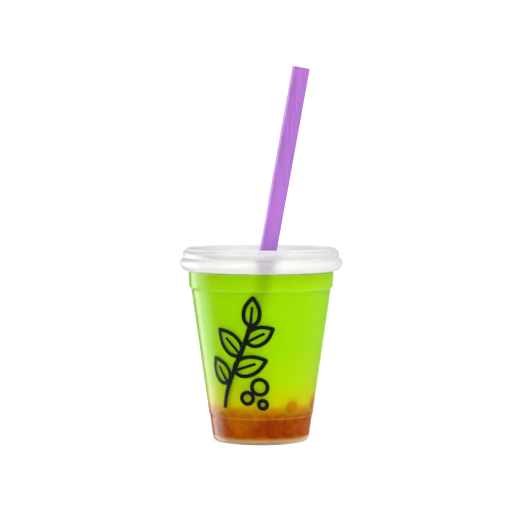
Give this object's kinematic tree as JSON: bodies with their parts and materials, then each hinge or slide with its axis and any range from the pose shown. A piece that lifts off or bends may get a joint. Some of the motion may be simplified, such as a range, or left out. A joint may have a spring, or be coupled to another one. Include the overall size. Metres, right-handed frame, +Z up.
{
  "type": "green apple fruit tea in a lidded cup",
  "caption": "Clear cup of cloudy green apple fruit tea with fruit pearls on its floor, a press-on flat lid and a wide straw that leans in the lid's cross cut.",
  "frame": {"origin": "on the cup's axis, at the level of the foot ring that it stands on", "axes": "+Z up along the cup's axis; +X is the way that the straw leans; -Y is the printed front"},
  "size_m": [0.1032, 0.1032, 0.2354],
  "materials": {
    "clear_pet": "clear gloss",
    "lid_pet": "slightly hazy clear",
    "straw_plastic": "semi-gloss lilac",
    "fruit_pearls": "wet translucent amber",
    "green_tea": "cloudy lime-green liquid"
  },
  "bodies": {
    "root": {"cup": "clear_pet", "lid": "lid_pet", "straw": "straw_plastic", "pearls": "fruit_pearls", "tea": "green_tea"}
  },
  "joints": []
}
